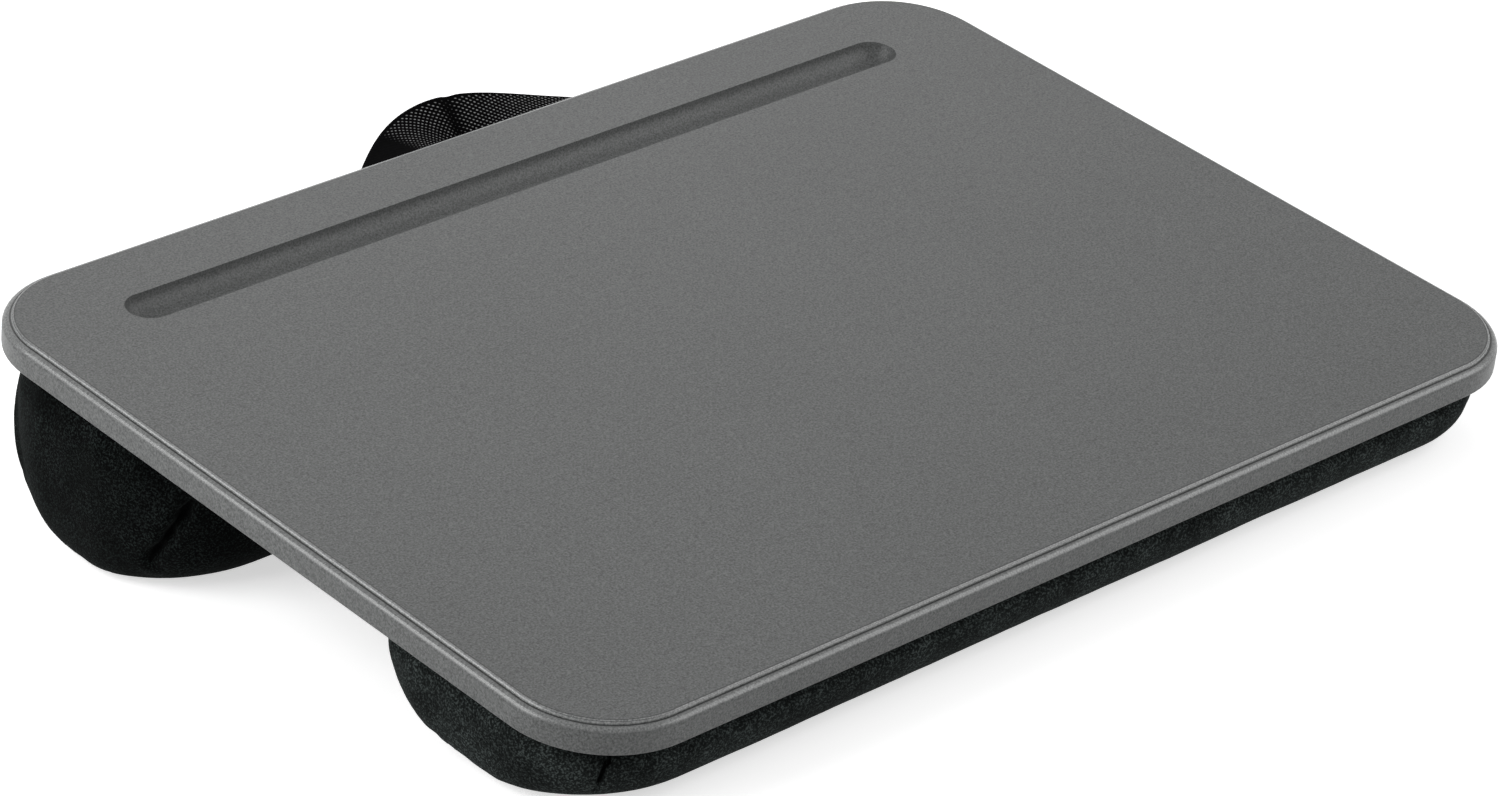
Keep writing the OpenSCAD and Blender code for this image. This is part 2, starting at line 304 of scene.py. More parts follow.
def edge_inset(nodes, links, sizes):
    """How far each point of the board lies in from its outline, in millimetres."""
    place = nodes.new("ShaderNodeTexCoord")
    turn = nodes.new("ShaderNodeMapping")
    turn.inputs["Rotation"].default_value = (-TILT, 0.0, 0.0)
    turn.inputs["Location"].default_value = INTO_BOARD.translation
    parts = nodes.new("ShaderNodeSeparateXYZ")
    links.new(place.outputs["Object"], turn.inputs["Vector"])
    links.new(turn.outputs["Vector"], parts.inputs[0])
    past, square = [], []
    for socket, whole in zip(parts.outputs, (sizes.board_width, sizes.board_depth)):
        size = math_node(nodes, links, "ABSOLUTE", socket)
        value = math_node(nodes, links, "SUBTRACT", size, whole / 2 - CORNER_R * MM)
        over = math_node(nodes, links, "MAXIMUM", value, 0.0)
        past.append(value)
        square.append(math_node(nodes, links, "MULTIPLY", over, over))
    away = math_node(nodes, links, "SQRT", math_node(nodes, links, "ADD", square[0], square[1]))
    inner = math_node(nodes, links, "MAXIMUM", past[0], past[1])
    inner = math_node(nodes, links, "MINIMUM", inner, 0.0)
    out = math_node(nodes, links, "ADD", away, inner)
    gap = math_node(nodes, links, "SUBTRACT", CORNER_R * MM, out)
    return math_node(nodes, links, "DIVIDE", gap, MM)


# Painted light and gloss of the film across the board's moulding. The tone ramp paints
# highlights as bright lines and painted shade as a dark crease and thin dark lines, and
# lightens the side faces. Each place is in millimetres in from the outline, and the
# ramps span MOULDING_SPAN.
MOULDING_SPAN = 6.0
MOULDING_PAINTED_LIGHT = (
    (0.20, 1.12), (0.70, 1.55), (1.40, 1.45), (1.90, 0.90), (2.10, 0.30), (2.42, 0.34),
    (2.54, 2.30), (2.72, 2.20), (2.82, 0.80), (2.94, 0.85), (3.04, 2.30), (3.22, 2.00),
    (3.34, 0.40), (3.52, 0.45), (3.68, 1.0),
)
MOULDING_GLOSS = (
    (0.15, 0.0), (0.50, 1.0), (1.80, 1.0), (2.05, 0.0),
    (2.45, 0.0), (2.58, 1.0), (3.20, 1.0), (3.35, 0.0),
)
# Roughness and specular level of the film, and how far its rubbed edges differ
FILM_ROUGHNESS = 0.42
RUBBED_ROUGHNESS = 0.20
FILM_SPECULAR = 0.34
RUBBED_SPECULAR = 0.45


def film_material(colour, sizes):
    """Satin soft-touch film: fine grain, painted highlights and painted shade across the
    moulding, and its edges rubbed glossier.
    """
    mat, nodes, links, bsdf = new_material("soft_touch_film")
    grain = noise_texture(nodes, links, 1700.0, 2.0, 0.6)
    cloud = noise_texture(nodes, links, 14.0, 2.0, 0.5)
    tone = ramp(nodes, links, grain, [(0.32, scaled(colour, 0.50)), (0.68, scaled(colour, 1.50))])
    soft = ramp(nodes, links, cloud, [(0.35, 0.97), (0.65, 1.03)])
    inset = math_node(nodes, links, "DIVIDE", edge_inset(nodes, links, sizes), MOULDING_SPAN)
    # Painted highlights and painted shade across the moulding, multiplied into the film's colour
    lines = ramp(nodes, links, inset, [(at / MOULDING_SPAN, v) for at, v in MOULDING_PAINTED_LIGHT])
    mixed = multiply(nodes, links, multiply(nodes, links, tone, soft), lines)
    links.new(mixed, bsdf.inputs["Base Color"])
    raise_surface(nodes, links, bsdf, grain, 0.25, 0.0002)
    shine = ramp(nodes, links, inset, [(at / MOULDING_SPAN, v) for at, v in MOULDING_GLOSS])
    less = math_node(nodes, links, "MULTIPLY", shine, RUBBED_ROUGHNESS)
    roughness = math_node(nodes, links, "SUBTRACT", FILM_ROUGHNESS, less)
    links.new(roughness, bsdf.inputs["Roughness"])
    more = math_node(nodes, links, "MULTIPLY", shine, RUBBED_SPECULAR)
    specular = math_node(nodes, links, "ADD", more, FILM_SPECULAR)
    links.new(specular, bsdf.inputs["Specular IOR Level"])
    return mat


# Tufts of the pile: each place on their noise, and how far the tone there lies from the
# ground tone, both as shares of the cloth's colour
PILE_GROUND = 1.5
PILE_TUFTS = ((0.40, -1.4), (0.49, -0.8), (0.55, 1.7), (0.64, 6.5))
# Painted shade in a sewn fold: how dark its colour gets, from its rim to its bottom
FOLD_PAINTED_SHADE = ((0.10, 1.0), (0.55, 0.04))


def pile_material(name, colour, contrast):
    """Short brushed pile, near black, speckled with lighter tufts, with painted shade in its sewn
    folds.
    """
    mat, nodes, links, bsdf = new_material(name)
    tufts = noise_texture(nodes, links, 1600.0, 2.0, 0.65)
    cloud = noise_texture(nodes, links, 75.0, 3.0, 0.6)
    speckle = ramp(nodes, links, tufts, [
        (place, scaled(colour, PILE_GROUND + step * contrast)) for place, step in PILE_TUFTS
    ])
    patches = ramp(nodes, links, cloud, [(0.34, 0.60), (0.66, 1.40)])
    painted_fold_shade = ramp(nodes, links, attribute(nodes, "fold"), FOLD_PAINTED_SHADE)
    mixed = multiply(nodes, links, multiply(nodes, links, speckle, patches), painted_fold_shade)
    links.new(mixed, bsdf.inputs["Base Color"])
    height = math_node(nodes, links, "ADD", tufts, cloud)
    raise_surface(nodes, links, bsdf, height, 0.5, 0.0003)
    set_inputs(
        bsdf, Roughness=0.95, Specular_IOR_Level=0.04, Sheen_Weight=0.02,
        Sheen_Roughness=0.45, Sheen_Tint=(0.80, 0.90, 0.88),
    )
    return mat


def panel_material(colour):
    """Plain weave over thin wadding."""
    mat, nodes, links, bsdf = new_material("panel_cloth")
    threads = []
    for direction in ("X", "Y"):
        wave = texture(
            nodes, links, "ShaderNodeTexWave", Scale=520.0, Distortion=0.6, Detail=1.0
        )
        wave.bands_direction = direction
        threads.append(wave.outputs["Fac"])
    weave = math_node(nodes, links, "MULTIPLY", threads[0], threads[1])
    tone = ramp(nodes, links, weave, [(0.0, scaled(colour, 0.45)), (0.7, scaled(colour, 1.9))])
    links.new(tone, bsdf.inputs["Base Color"])
    raise_surface(nodes, links, bsdf, weave, 0.5, 0.0002)
    set_inputs(bsdf, Roughness=0.85, Specular_IOR_Level=0.2)
    return mat


def webbing_material(colour, painted_knot_highlight):
    """Basket weave: the tops of the crossings are painted lighter than the yarn, as painted
    highlights.
    """
    mat, nodes, links, bsdf = new_material("webbing")
    tone = ramp(nodes, links, attribute(nodes, "crossing"), [(0.62, colour), (0.92, painted_knot_highlight)])
    fuzz = noise_texture(nodes, links, 700.0, 2.0, 0.6)
    worn = ramp(nodes, links, fuzz, [(0.35, 0.55), (0.65, 1.25)])
    links.new(multiply(nodes, links, tone, worn), bsdf.inputs["Base Color"])
    set_inputs(bsdf, Roughness=0.9, Specular_IOR_Level=0.03)
    return mat


def plain_material(name, colour, roughness, metallic, scale, strength):
    """One finish with a little grain in tone and height."""
    mat, nodes, links, bsdf = new_material(name)
    grain = noise_texture(nodes, links, scale, 3.0, 0.6)
    tone = ramp(nodes, links, grain, [(0.35, scaled(colour, 0.8)), (0.65, scaled(colour, 1.2))])
    links.new(tone, bsdf.inputs["Base Color"])
    raise_surface(nodes, links, bsdf, grain, strength, 0.0003)
    set_inputs(bsdf, Roughness=roughness, Metallic=metallic)
    return mat


# The two bolsters in board space: centre line, half width, depth and how square the
# section is
REAR = (86.85, 46.6, 52.9, 4.2)
FRONT = (-81.8, 51.65, 26.1, 3.2)
# Half the length of both, their corner radius in plan, and how their blunt ends round
# over: in this length, with this power
HALF_LENGTH = 182.0
BOLSTER_R = 36.0
END_LENGTH = 9.3
END_POWER = 3.6
# The sides draw in at the seam, which fades out at this share of the depth
DRAW_IN = 4.5
DRAW_SHARE = 0.28
SEAM_Z = -2.7
# The lowest outline lies at this angle round the section, just short of its bottom
LAST_ANGLE = 88.5
# Outlines from the seam down, and points in each quarter of an outline
OUTLINES = 40
CORNER_POINTS = 14
# The cloth starts this far inside the finished bolster, and once it is blown up it is
# drawn this share of the way to the cut form, set out by the negative inset
START_INSET = 0.9
OUTER_INSET = -0.85
CUT_SHARE = 0.8
# Steps of the cloth under pressure, and how far below the seam it is still held
CLOTH_STEPS = 20
HELD_BELOW = 1.0

# The sewn dart at the left end of each bolster's near side: its points in board space,
# its depth and half width, and how far the cloth bulges beside it
REAR_DART = (
    ((-168.6, 48.4, -18.0), (-172.0, 52.5, -29.0), (-172.5, 59.5, -39.0)), 3.4, 1.6, 1.4
)
FRONT_DART = (
    ((-168.0, -125.2, -4.0), (-169.3, -124.4, -9.0), (-169.0, -122.0, -16.0)), 2.0, 0.7, 0.3
)
# Darts lie past this distance from the middle. The grid is finer within FINE_ROOM of
# one, and it moves nothing past DART_ROOM.
DARTS_FROM = 150.0
FINE_ROOM = 7.0
DART_ROOM = 8.0
# Lumps of the stuffing, as height and breadth
BROAD_LUMPS = (0.30, 36.0)
SMALL_LUMPS = (0.10, 9.0)
# Gathers round the seam at both ends: where they begin, their height and how many waves
# a radian holds. They and the lumps come in over this depth below the seam.
GATHERS_FROM = 140.0
GATHER_HEIGHT = 0.25
GATHER_WAVES = 17.0
SEAM_FADE = 6.0


def bolster_outlines(form, inset):
    """Closed outlines of a bolster from its seam down, set in by inset."""
    y, half_w, depth, power = form
    half_w -= inset
    depth -= inset
    half_l = HALF_LENGTH - inset
    start = math.degrees(math.asin((-SEAM_Z / depth) ** (power / 2)))
    rings = []
    for k in range(OUTLINES + 1):
        a = math.radians(start + (LAST_ANGLE - start) * k / OUTLINES)
        down = math.sin(a) ** (2 / power)
        narrow = math.cos(a) ** (2 / power)
        blunt = max(0.0, 1 - down**END_POWER) ** (1 / END_POWER)
        drawn = DRAW_IN * max(0.0, 1 - down / DRAW_SHARE) ** 2
        hl = half_l - END_LENGTH * (1 - blunt) - drawn
        hw = half_w * narrow - drawn
        ry = BOLSTER_R * narrow * (1 - drawn / half_w)
        ring = []
        for c in range(4):
            sx = 1 if c in (0, 3) else -1
            sy = 1 if c < 2 else -1
            for i in range(CORNER_POINTS + 1):
                t = math.radians(90 * c + 90 * i / CORNER_POINTS)
                ring.append((
                    sx * (hl - BOLSTER_R) + BOLSTER_R * math.cos(t),
                    y + sy * (hw - ry) + ry * math.sin(t),
                    -depth * down,
                ))
        rings.append(ring)
    return rings


def inflate(obj, held, cap):
    """Lets the filling press the cloth out, as far as cap, held where it is sewn."""
    start = [v.co.copy() for v in obj.data.vertices]
    group = obj.vertex_groups.new(name="sewn")
    group.add(held, 1.0, "REPLACE")
    modifier = obj.modifiers.new("Cloth", "CLOTH")
    cloth = modifier.settings
    cloth.quality = 6
    cloth.mass = 0.25
    cloth.tension_stiffness = 25
    cloth.compression_stiffness = 25
    cloth.shear_stiffness = 8
    cloth.bending_stiffness = 0.8
    cloth.vertex_group_mass = "sewn"
    cloth.use_pressure = True
    cloth.uniform_pressure_force = 4.0
    cloth.effector_weights.gravity = 0.0
    modifier.collision_settings.use_self_collision = False
    scene = bpy.context.scene
    for step in range(1, CLOTH_STEPS + 1):
        scene.frame_set(step)
    moved = obj.evaluated_get(bpy.context.evaluated_depsgraph_get())
    ends = [v.co.copy() for v in moved.data.vertices]
    obj.modifiers.remove(modifier)
    scene.frame_set(1)
    for v, a, b in zip(obj.data.vertices, start, ends):
        push = b - a
        if push.length > cap:
            push *= cap / push.length
        v.co = a + push
    obj.vertex_groups.clear()
    obj.data.update()


def pull_to(obj, rings, share):
    """Moves every point that share of the way to the surface through the rings."""
    points = flat([p for ring in rings for p in ring])
    cut = bvhtree.BVHTree.FromPolygons(points, tube_faces(len(rings), len(rings[0])))
    for v in obj.data.vertices:
        v.co = v.co.lerp(cut.find_nearest(v.co)[0], share)
    obj.data.update()


# Farther from any line than a point of the desk can be
FAR_OFF = Vector((1e3, 0.0, 0.0))


def along_line(p, line):
    """How far p is off the line, its share of the way along, and its side vector."""
    best = (FAR_OFF, 0.0, Vector())
    pieces = len(line) - 1
    for i in range(pieces):
        a, b = line[i], line[i + 1]
        t = max(0.0, min(1.0, (p - a).dot(b - a) / (b - a).length_squared))
        off = p - a.lerp(b, t)
        if off.length < best[0].length:
            best = (off, (i + t) / pieces, off.cross(b - a))
    return best


def four_darts(form, points):
    """The measured dart and its mirror images at the other three corners."""
    lines = []
    for sx in (1, -1):
        for far in (False, True):
            lines.append([
                Vector((sx * x, 2 * form[0] - y if far else y, z)) for x, y, z in points
            ])
    return lines


def refine_near(bm, darts):
    """Cuts the edges near a dart in two, for a finer grid there."""
    near = set()
    for v in bm.verts:
        p = (INTO_BOARD @ v.co) / MM
        if abs(p.x) > DARTS_FROM:
            if any(along_line(p, line)[0].length < FINE_ROOM for line in darts):
                near.add(v.index)
    edges = [e for e in bm.edges if all(v.index in near for v in e.verts)]
    bmesh.ops.subdivide_edges(bm, edges=edges, cuts=1, use_grid_fill=True)
    bm.normal_update()


def stuffing(p, form):
    """How far lumps and gathers lift the cloth at a point, in millimetres."""
    lump = BROAD_LUMPS[0] * noise.noise(p / BROAD_LUMPS[1])
    lump += SMALL_LUMPS[0] * noise.noise(p / SMALL_LUMPS[1] + Vector((7, 3, 1)))
    under = SEAM_Z - p.z
    fade = max(0.0, min(1.0, under / SEAM_FADE))
    corner = max(0.0, abs(p.x) - GATHERS_FROM) / (HALF_LENGTH - GATHERS_FROM)
    around = math.atan2(p.y - form[0], abs(p.x) - (HALF_LENGTH - BOLSTER_R))
    fold = math.sin(around * GATHER_WAVES + 2.0 * noise.noise(p / 30.0))
    gather = GATHER_HEIGHT * corner * fold * fade * bell(under - SEAM_FADE, SEAM_FADE)
    return lump * fade + gather


def dart_at(p, normal, line, depth, half, bulge):
    """How far a dart moves the cloth at a point, and how deep in its fold that lies, for the
    fold's painted shade.
    """
    off, t, side = along_line(p, line)
    if off.length > DART_ROOM:
        return 0.0, 0.0
    wander = 0.6 * half * noise.noise(p / 5.0)
    d = (off - off.dot(normal) * normal).length + wander
    reach = math.sin(math.pi * min(1.0, 0.06 + 0.92 * t)) ** 0.35
    lower = 1.0 if side.dot(normal) * p.x > 0 else 0.45
    move = bulge * lower * reach * bell(d - 2.3 * half, 1.5 * half)
    move -= depth * reach * bell(d, half)
    return move, reach * bell(d, 0.8 * half)


def sew(obj, form, dart):
    """Finer grid round the darts, then the darts, gathers and lumps of the stuffing, and the
    depth in each dart's fold that sets its painted shade.
    """
    points, depth, half, bulge = dart
    darts = four_darts(form, points)
    bm = bmesh.new()
    bm.from_mesh(obj.data)
    refine_near(bm, darts)
    # The "fold" layer holds the depth in a dart's fold, which the cloth's colour turns into
    # painted shade
    inside = bm.verts.layers.float.new("fold")
    turn = INTO_BOARD.to_3x3()
    for v in bm.verts:
        p = (INTO_BOARD @ v.co) / MM
        move = stuffing(p, form)
        if abs(p.x) > DARTS_FROM:
            normal = turn @ v.normal
            for line in darts:
                shift, painted_shade_depth = dart_at(p, normal, line, depth, half, bulge)
                move += shift
                v[inside] = max(v[inside], painted_shade_depth)
        v.co += v.normal * move * MM
        v.co.z = max(v.co.z, 0.0)
    bm.to_mesh(obj.data)
    bm.free()
    obj.data.update()


def bolster(name, node_name, form, dart, sizes, mat):
    """One stuffed bolster: loft, voxel grid, cloth under pressure, then its darts."""
    rings = bolster_outlines(form, START_INSET)
    points = flat([p for ring in rings for p in ring])
    obj = mesh_object(name, points, tube_faces(len(rings), len(rings[0])))
    apply_modifier(obj, "REMESH", mode="VOXEL", voxel_size=sizes.cloth_grid)
    held = [
        v.index for v in obj.data.vertices
        if (INTO_BOARD @ v.co).z > (SEAM_Z - HELD_BELOW) * MM
    ]
    inflate(obj, held, sizes.swell)
    apply_modifier(obj, "SUBSURF", levels=2, render_levels=2)
    pull_to(obj, bolster_outlines(form, OUTER_INSET), CUT_SHARE)
    sew(obj, form, dart)
    finish_cloth(obj, mat)
    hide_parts(node_name)
    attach(obj, "desk")


class DESK_OT_bolsters(bpy.types.Operator):
    """Make the two stuffed bolsters"""

    bl_idname = "lap_desk.bolsters"
    bl_label = "Bolsters"

    def execute(self, context):
        sizes = context.scene.desk_sizes
        colours = context.scene.desk_colours
        # The far bolster's cloth is the near one's, darkened as painted shade
        far_pile_painted_shade = pile_material("far_bolster_cloth_painted_shade", colours.far_cloth_painted_shade, 1.0)
        near_pile = pile_material("near_bolster_cloth", colours.near_cloth, 0.6)
        bolster("rear_bolster_cloth", "rear_bolster_cover", REAR, REAR_DART, sizes, far_pile_painted_shade)
        bolster("front_bolster_cloth", "front_bolster_cover", FRONT, FRONT_DART, sizes, near_pile)
        return {"FINISHED"}


# Webbing, in board space, on the same curve as in the part: half the distance between
# its clamped ends, their angle and place, and the middle of the loop
LOOP_X = 12.0
LOOP_HALF = 69.5
END_ANGLE = math.radians(56.0)
END_Y = 102.95
MID_Y = 157.15
# How strongly the curve holds its line in the middle and at the ends
MID_HOLD = 26.0
END_HOLD = 2.9
# Height of the clamped ends, drop of the middle, its lean, and where the twist starts
WEB_Z = -0.8
DROP = 3.8
LEAN = 55.0
TWIST_START = 0.64
# The ends run in past their middle by this length, and the loop flexes on this line,
# in a bend that begins before it and ends past it
TAB = 21.0
CURVE_STEPS = 400
SLOPE_STEP = 0.001
# The weave: length and width of one crossing, and how far the crossings stand proud
WEAVE_L = 1.0
WEAVE_W = 0.8
WEAVE_H = 0.10
# The selvedge rounds over in this width, no thinner than this share of the thickness,
# squared, and the weave stops short of the edge by this
SELVEDGE = 0.7
THINNEST = 0.15
WEAVE_EDGE = 0.9
# A soft crease across the loop, at this length from the left end's middle: its depth,
# breadth and slant, and the stretch before it where the crossings' painted highlight is
# taken down as painted shade
CREASE_AT = 94.3
CREASE_DEPTH = 0.8
CREASE_BREADTH = 1.7
CREASE_SLANT = 0.12
PAINTED_SHADE_STRETCH = (48.0, 68.0)


def web_turn(t):
    """How far the webbing has turned on edge, from 0 to 1 in the middle of the loop."""
    return smooth((t - TWIST_START) / (1 - TWIST_START))


def web_centre(t):
    """Middle of the left half's webbing: t is 0 at the clamp and 1 at mid loop."""
    a = Vector((-LOOP_HALF, END_Y))
    b = a + END_HOLD * Vector((math.cos(END_ANGLE), math.sin(END_ANGLE)))
    d = Vector((0.0, MID_Y))
    c = d - Vector((MID_HOLD, 0.0))
    p = (1 - t) ** 3 * a + 3 * t * (1 - t) ** 2 * b + 3 * t * t * (1 - t) * c + t**3 * d
    return Vector((p.x, p.y, WEB_Z - (DROP + WEB_Z) * web_turn(t)))


def web_along(t):
    before = web_centre(max(0.0, t - SLOPE_STEP))
    return (web_centre(min(1.0, t + SLOPE_STEP)) - before).normalized()


def web_across(t):
    d = web_along(t)
    out = Vector((-d.y, d.x, 0.0)).normalized()
    up = math.radians(web_turn(t) * (90 - LEAN))
    return math.cos(up) * out + Vector((0.0, 0.0, math.sin(up)))


def painted_knot_light(length):
    """How bright the painted highlight on the crossings' tops is at a length along the loop,
    taken down by painted shade over a stretch and at the crease.
    """
    painted_shade = smooth((length - PAINTED_SHADE_STRETCH[0]) / 3.0) * smooth((PAINTED_SHADE_STRETCH[1] + 6.0 - length) / 9.0)
    return (1 - 0.85 * painted_shade) * (1 - 0.6 * bell(length - CREASE_AT, 2.2))


def web_path():
    """Centre and direction across at every half crossing, end to end, with lengths."""
    first = web_along(0.0)
    first = Vector((first.x, first.y, 0.0))
    rows = [(web_centre(0.0) - TAB * first, web_across(0.0))]
    for i in range(CURVE_STEPS + 1):
        t = i / CURVE_STEPS
        rows.append((web_centre(t), web_across(t)))
    rows += [
        (Vector((-c.x, c.y, c.z)), Vector((-a.x, a.y, a.z))) for c, a in reversed(rows[:-1])
    ]
    done = [0.0]
    for k in range(1, len(rows)):
        done.append(done[-1] + (rows[k][0] - rows[k - 1][0]).length)
    steps = 2 * round(done[-1] / WEAVE_L)
    path, k = [], 1
    for i in range(steps + 1):
        want = done[-1] * i / steps
        while k < len(rows) - 1 and done[k] < want:
            k += 1
        t = (want - done[k - 1]) / (done[k] - done[k - 1])
        centre = rows[k - 1][0].lerp(rows[k][0], t)
        across = rows[k - 1][1].lerp(rows[k][1], t).normalized()
        path.append((centre, across, want - TAB))
    return path


def webbing(sizes, mat):
    """The strap as one woven mesh, with a rounded selvedge on both sides."""
    half_w = sizes.webbing_width / MM / 2
    half_t = sizes.webbing_thickness / MM / 2
    path = web_path()
    columns = 2 * round(2 * half_w / WEAVE_W)
    ring_size = 2 * (columns + 1)
    points, crossing = [], []
    for i, (centre, across, length) in enumerate(path):
        before = path[max(0, i - 1)][0]
        after = path[min(len(path) - 1, i + 1)][0]
        face = (after - before).normalized().cross(across).normalized()
        for j in list(range(columns + 1)) + list(range(columns, -1, -1)):
            upper = len(points) % ring_size <= columns
            u = half_w * (1 - 2 * j / columns)
            rim = half_w - abs(u)
            round_off = 1 - max(0.0, 1 - rim / SELVEDGE) ** 2
            thick = half_t * math.sqrt(max(THINNEST, round_off))
            knot = math.sin(math.pi * (i + 1) / 2) * math.sin(math.pi * (j + 1) / 2)
            if (i % 2) or (j % 2) or rim < WEAVE_EDGE:
                knot = 0.0
            crease = bell(length - CREASE_AT - CREASE_SLANT * u, CREASE_BREADTH)
            offset = thick + WEAVE_H * knot if upper else -thick + WEAVE_H * knot
            p = centre + u * across + (offset - CREASE_DEPTH * crease) * face
            points.append(Vector((p.x + LOOP_X, p.y, p.z)))
            # Painted highlight on the crossings' tops, lowered by painted shade along the loop
            crossing.append(0.5 + 0.5 * painted_knot_light(length) * (knot if upper else -knot))
    obj = mesh_object("webbing_strap", flat(points), tube_faces(len(path), ring_size))
    values = obj.data.attributes.new("crossing", "FLOAT", "POINT")
    values.data.foreach_set("value", crossing)
    finish_cloth(obj, mat)
    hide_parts("carry_loop", "handle_left_end", "handle_right_end")
    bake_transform(obj)


class DESK_OT_webbing(bpy.types.Operator):
    """Make the webbing loop with its two clamped ends"""

    bl_idname = "lap_desk.webbing"
    bl_label = "Webbing loop"

    def execute(self, context):
        colours = context.scene.desk_colours
        webbing(context.scene.desk_sizes, webbing_material(colours.webbing, colours.painted_knot_highlight))
        return {"FINISHED"}


# The base panel, in board space: how far its hem lies inside the board, its thickness,
# and the room over the webbing ends with how softly its sides fall
HEM = 6.0
PANEL_T = 2.6
POCKET_Z = -1.75
POCKET_HALF = 13.0
POCKET_FALL = 2.5
POCKETS_FROM = 60.0
# Points along each side and in each corner of an outline, and how far the outlines of
# the underside lie apart, close together as far in as FINE_TO
SIDE_STEPS = (110, 90)
CORNER_STEPS = 16
FINE_STEP = 1.5
FINE_TO = 16.0
COARSE_STEP = 3.0
# Outlines of the panel from its upper face round the hem, as distance in from the
# board's edge, height, and height where the webbing lies
HEM_OUTLINES = (
    (14.0, POCKET_Z, POCKET_Z), (10.0, -0.12, POCKET_Z), (HEM + 1.2, -0.12, POCKET_Z),
    (HEM + 0.3, -0.45, -1.85), (HEM, -1.0, -2.0), (HEM, -1.7, -2.15),
    (HEM + 0.3, -2.25, -2.4), (HEM + 1.0, -PANEL_T, -PANEL_T),
)
# The line of stitches inside the hem: how far in, how deep and how broad
STITCH_IN = 12.0
STITCH_DEPTH = 0.3
STITCH_BREADTH = 1.2
# The staples on both sides of the channel, and how the panel puffs between them
STAPLE_ROWS = (35.25, -25.15)
STAPLE_SPAN = 146.0
STAPLES_PER_ROW = 8
STAPLE_HALF = 4.0
STAPLE_PULL = 0.5
PULL_BREADTH = 6.0
PUFF = 0.75
PUFF_POWER = 0.7
WADDING_LUMPS = (0.18, 16.0)


def rounded_outline(half_x, half_y, inset):
    """Points round the board's outline set in by inset, the same number each time."""
    r = max(CORNER_R - inset, 1.0)
    x, y = half_x - inset - r, half_y - inset - r
    corners = ((x, y, 0), (-x, y, 90), (-x, -y, 180), (x, -y, 270))
    points = []
    for c, (cx, cy, turn) in enumerate(corners):
        for i in range(CORNER_STEPS):
            a = math.radians(turn + 90 * i / CORNER_STEPS)
            points.append((cx + r * math.cos(a), cy + r * math.sin(a)))
        nx, ny, following = corners[(c + 1) % 4]
        a = math.radians(following)
        start = (cx + r * math.cos(a), cy + r * math.sin(a))
        end = (nx + r * math.cos(a), ny + r * math.sin(a))
        steps = SIDE_STEPS[c % 2]
        for i in range(steps):
            t = i / steps
            points.append(tuple(p + (q - p) * t for p, q in zip(start, end)))
    return points


def pocket_share(x, y, line):
    """1 where the webbing lies on the panel, falling to 0 beside it."""
    p = Vector((abs(x - LOOP_X), y))
    near = min((p - q).length for q in line)
    return smooth((POCKET_HALF + POCKET_FALL - near) / POCKET_FALL)


def panel_bottom(x, y):
    """Height of the panel's underside: puffed in the channel, pulled in at staples."""
    across = (y - STAPLE_ROWS[1]) / (STAPLE_ROWS[0] - STAPLE_ROWS[1])
    if not 0.0 < across < 1.0:
        return -PANEL_T
    full = math.sin(math.pi * across) ** PUFF_POWER
    row = min(STAPLE_ROWS, key=lambda s: abs(s - y))
    step = 2 * STAPLE_SPAN / (STAPLES_PER_ROW - 1)
    nearest = round((x + STAPLE_SPAN) / step) * step - STAPLE_SPAN
    near = math.hypot(max(0.0, abs(x - nearest) - STAPLE_HALF), y - row)
    height, breadth = WADDING_LUMPS
    z = -PANEL_T - PUFF * full
    z -= height * noise.noise(Vector((x / breadth, y / breadth, 2.0)))
    return z + STAPLE_PULL * bell(near, PULL_BREADTH) * full


def base_panel(sizes, mat):
    """The padded panel as nested outlines: recess, hem, side, stitch line and middle."""
    half_x = sizes.board_width / MM / 2
    half_y = sizes.board_depth / MM / 2
    line = [Vector((-web_centre(i / 40).x, web_centre(i / 40).y)) for i in range(33)]
    first = web_along(0.0)
    line += [line[0] + Vector((first.x, -first.y)) * k for k in range(2, int(TAB) + 1, 2)]
    points = []
    for inset, high, low in HEM_OUTLINES:
        for x, y in rounded_outline(half_x, half_y, inset):
            share = pocket_share(x, y, line) if y > POCKETS_FROM else 0.0
            points.append((x, y, high + (low - high) * share))
    rings = len(HEM_OUTLINES)
    inset = HEM + 2.5
    while inset < half_y - COARSE_STEP:
        stitched = STITCH_DEPTH * bell(inset - STITCH_IN, STITCH_BREADTH)
        for x, y in rounded_outline(half_x, half_y, inset):
            points.append((x, y, panel_bottom(x, y) + stitched))
        rings += 1
        inset += FINE_STEP if inset < FINE_TO else COARSE_STEP
    ring_size = 4 * CORNER_STEPS + 2 * sum(SIDE_STEPS)
    obj = mesh_object("base_panel_cloth", flat(points), tube_faces(rings, ring_size))
    finish_cloth(obj, mat)
    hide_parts("base_panel")
    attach(obj, "desk")


class DESK_OT_base_panel(bpy.types.Operator):
    """Make the padded cloth panel under the board"""

    bl_idname = "lap_desk.base_panel"
    bl_label = "Base panel"

    def execute(self, context):
        base_panel(context.scene.desk_sizes, panel_material(context.scene.desk_colours.panel))
        return {"FINISHED"}


# Finishes of the hidden pieces: colour, roughness, metal, scale of the grain, its bump
PLAIN_FINISHES = {
    "fibreboard": ((0.33, 0.22, 0.13), 0.9, 0.0, 900.0, 0.3),
    "backing_sheet": ((0.015, 0.015, 0.016), 0.6, 0.0, 1200.0, 0.1),
    "staple_steel": ((0.55, 0.56, 0.57), 0.35, 1.0, 2500.0, 0.05),
    "bag_cloth": ((0.75, 0.75, 0.73), 0.9, 0.0, 700.0, 0.4),
    "beads": ((0.85, 0.85, 0.84), 0.7, 0.0, 300.0, 0.8),
}
PLAIN_PIECES = {
    "board_core": "fibreboard",
    "board_backing": "backing_sheet",
    "channel_staples": "staple_steel",
    "handle_staples": "staple_steel",
    "rear_bead_bag": "bag_cloth",
    "front_bead_bag": "bag_cloth",
    "rear_bead_fill": "beads",
    "front_bead_fill": "beads",
}


